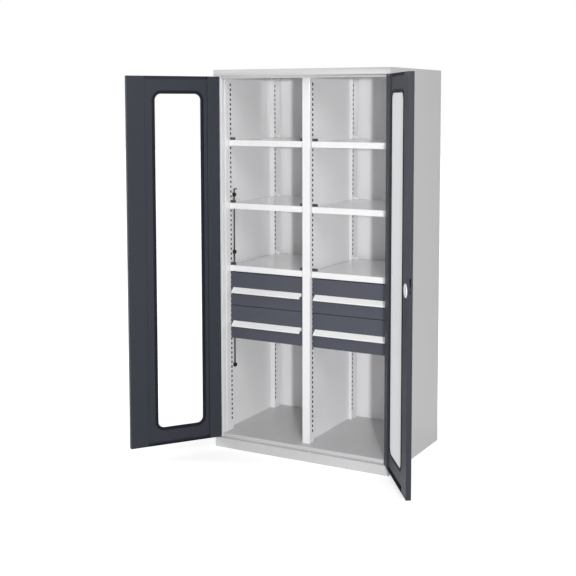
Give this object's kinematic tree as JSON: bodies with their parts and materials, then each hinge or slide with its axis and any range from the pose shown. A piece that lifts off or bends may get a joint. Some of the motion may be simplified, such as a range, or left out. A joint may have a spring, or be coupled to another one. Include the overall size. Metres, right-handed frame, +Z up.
{
  "type": "heavy-duty tool cabinet",
  "caption": "Tall sheet-metal cabinet with windowed double doors, adjustable shelves on slotted uprights, a centre partition, drawers with slanted grips and a rod lock.",
  "frame": {"origin": "on the floor at the middle of the plinth's front", "axes": "+X to the right seen from the front, +Y to the back, +Z up"},
  "size_m": [1.529, 1.0229, 1.95],
  "materials": {
    "body_paint": "satin powder coat",
    "door_paint": "fine textured powder coat",
    "drawer_paint": "fine textured powder coat",
    "box_paint": "satin powder coat",
    "grip_white": "satin white",
    "slide_steel": "zinc plated",
    "gasket_rubber": "matt",
    "window_clear": "clear",
    "lock_white": "satin",
    "lock_metal": "satin die-cast",
    "zinc_steel": "zinc plated",
    "black_steel": "satin",
    "black_plastic": "satin"
  },
  "bodies": {
    "carcass": {"left_side_panel": "body_paint", "right_side_panel": "body_paint", "back_panel": "body_paint", "top_cover": "body_paint", "floor_panel": "body_paint", "plinth": "body_paint", "left_front_upright": "body_paint", "left_rear_upright": "body_paint", "right_front_upright": "body_paint", "right_rear_upright": "body_paint", "partition_panel": "body_paint", "partition_front_post": "body_paint", "partition_rear_post": "body_paint", "left_low_shelf": "body_paint", "left_middle_shelf": "body_paint", "left_high_shelf": "body_paint", "right_low_shelf": "body_paint", "right_middle_shelf": "body_paint", "right_high_shelf": "body_paint", "shelf_clips": "black_steel", "side_rod": "black_steel", "side_rod_clips": "black_plastic", "upper_pivot_pins": "zinc_steel", "lower_pivot_pins": "zinc_steel", "drawer_outer_rails": "slide_steel"},
    "left_door": {"left_door_skin": "door_paint", "left_door_stiffeners": "door_paint", "left_door_gasket": "gasket_rubber", "left_door_pane": "window_clear"},
    "right_door": {"right_door_skin": "door_paint", "right_door_stiffeners": "door_paint", "right_door_gasket": "gasket_rubber", "right_door_pane": "window_clear", "lock_escutcheon": "lock_metal", "lock_case": "zinc_steel", "lock_cover": "lock_white"},
    "lock_handle": {"lock_grip": "lock_metal", "lock_cam": "zinc_steel"},
    "upper_rod": {"lock_upper_rod": "zinc_steel"},
    "lower_rod": {"lock_lower_rod": "zinc_steel"},
    "left_upper_drawer": {"left_upper_drawer_box": "box_paint", "left_upper_drawer_front": "drawer_paint", "left_upper_drawer_grip": "grip_white", "left_upper_drawer_inner_rails": "slide_steel"},
    "left_upper_drawer_runner": {"left_upper_drawer_middle_rails": "slide_steel"},
    "left_lower_drawer": {"left_lower_drawer_box": "box_paint", "left_lower_drawer_front": "drawer_paint", "left_lower_drawer_grip": "grip_white", "left_lower_drawer_inner_rails": "slide_steel"},
    "left_lower_drawer_runner": {"left_lower_drawer_middle_rails": "slide_steel"},
    "right_upper_drawer": {"right_upper_drawer_box": "box_paint", "right_upper_drawer_front": "drawer_paint", "right_upper_drawer_grip": "grip_white", "right_upper_drawer_inner_rails": "slide_steel"},
    "right_upper_drawer_runner": {"right_upper_drawer_middle_rails": "slide_steel"},
    "right_lower_drawer": {"right_lower_drawer_box": "box_paint", "right_lower_drawer_front": "drawer_paint", "right_lower_drawer_grip": "grip_white", "right_lower_drawer_inner_rails": "slide_steel"},
    "right_lower_drawer_runner": {"right_lower_drawer_middle_rails": "slide_steel"}
  },
  "joints": [
    {"name": "left_door_hinge", "type": "hinge", "parent": "carcass", "child": "left_door", "pos_m": [-0.478, 0.012, 0.052], "axis": [0, 0, -1], "range_deg": [-125.5, 0]},
    {"name": "right_door_hinge", "type": "hinge", "parent": "carcass", "child": "right_door", "pos_m": [0.478, 0.012, 0.052], "axis": [0, 0, 1], "range_deg": [-125.5, 0]},
    {"name": "lock_turn", "type": "hinge", "parent": "right_door", "child": "lock_handle", "pos_m": [0.7338, -0.34662, 0.973], "axis": [0.8141, 0.5807, 0], "range_deg": [0, 90]},
    {"name": "upper_rod_slide", "type": "slide", "parent": "right_door", "child": "upper_rod", "axis": [0, 0, 1], "range_m": [0, 0.018]},
    {"name": "lower_rod_slide", "type": "slide", "parent": "right_door", "child": "lower_rod", "axis": [0, 0, -1], "range_m": [0, 0.018]},
    {"name": "left_upper_drawer_slide", "type": "slide", "parent": "carcass", "child": "left_upper_drawer", "axis": [0, -1, 0], "range_m": [0, 0.45]},
    {"name": "left_upper_drawer_runner_slide", "type": "slide", "parent": "carcass", "child": "left_upper_drawer_runner", "axis": [0, -1, 0], "range_m": [0, 0.225]},
    {"name": "left_lower_drawer_slide", "type": "slide", "parent": "carcass", "child": "left_lower_drawer", "axis": [0, -1, 0], "range_m": [0, 0.45]},
    {"name": "left_lower_drawer_runner_slide", "type": "slide", "parent": "carcass", "child": "left_lower_drawer_runner", "axis": [0, -1, 0], "range_m": [0, 0.225]},
    {"name": "right_upper_drawer_slide", "type": "slide", "parent": "carcass", "child": "right_upper_drawer", "axis": [0, -1, 0], "range_m": [0, 0.45]},
    {"name": "right_upper_drawer_runner_slide", "type": "slide", "parent": "carcass", "child": "right_upper_drawer_runner", "axis": [0, -1, 0], "range_m": [0, 0.225]},
    {"name": "right_lower_drawer_slide", "type": "slide", "parent": "carcass", "child": "right_lower_drawer", "axis": [0, -1, 0], "range_m": [0, 0.45]},
    {"name": "right_lower_drawer_runner_slide", "type": "slide", "parent": "carcass", "child": "right_lower_drawer_runner", "axis": [0, -1, 0], "range_m": [0, 0.225]}
  ],
  "couplings": [
    {"joint": "lock_turn", "follows": "upper_rod_slide", "rad_per_m": 87.266},
    {"joint": "lower_rod_slide", "follows": "upper_rod_slide", "ratio": 1},
    {"joint": "left_upper_drawer_runner_slide", "follows": "left_upper_drawer_slide", "ratio": 0.5},
    {"joint": "left_lower_drawer_runner_slide", "follows": "left_lower_drawer_slide", "ratio": 0.5},
    {"joint": "right_upper_drawer_runner_slide", "follows": "right_upper_drawer_slide", "ratio": 0.5},
    {"joint": "right_lower_drawer_runner_slide", "follows": "right_lower_drawer_slide", "ratio": 0.5}
  ]
}
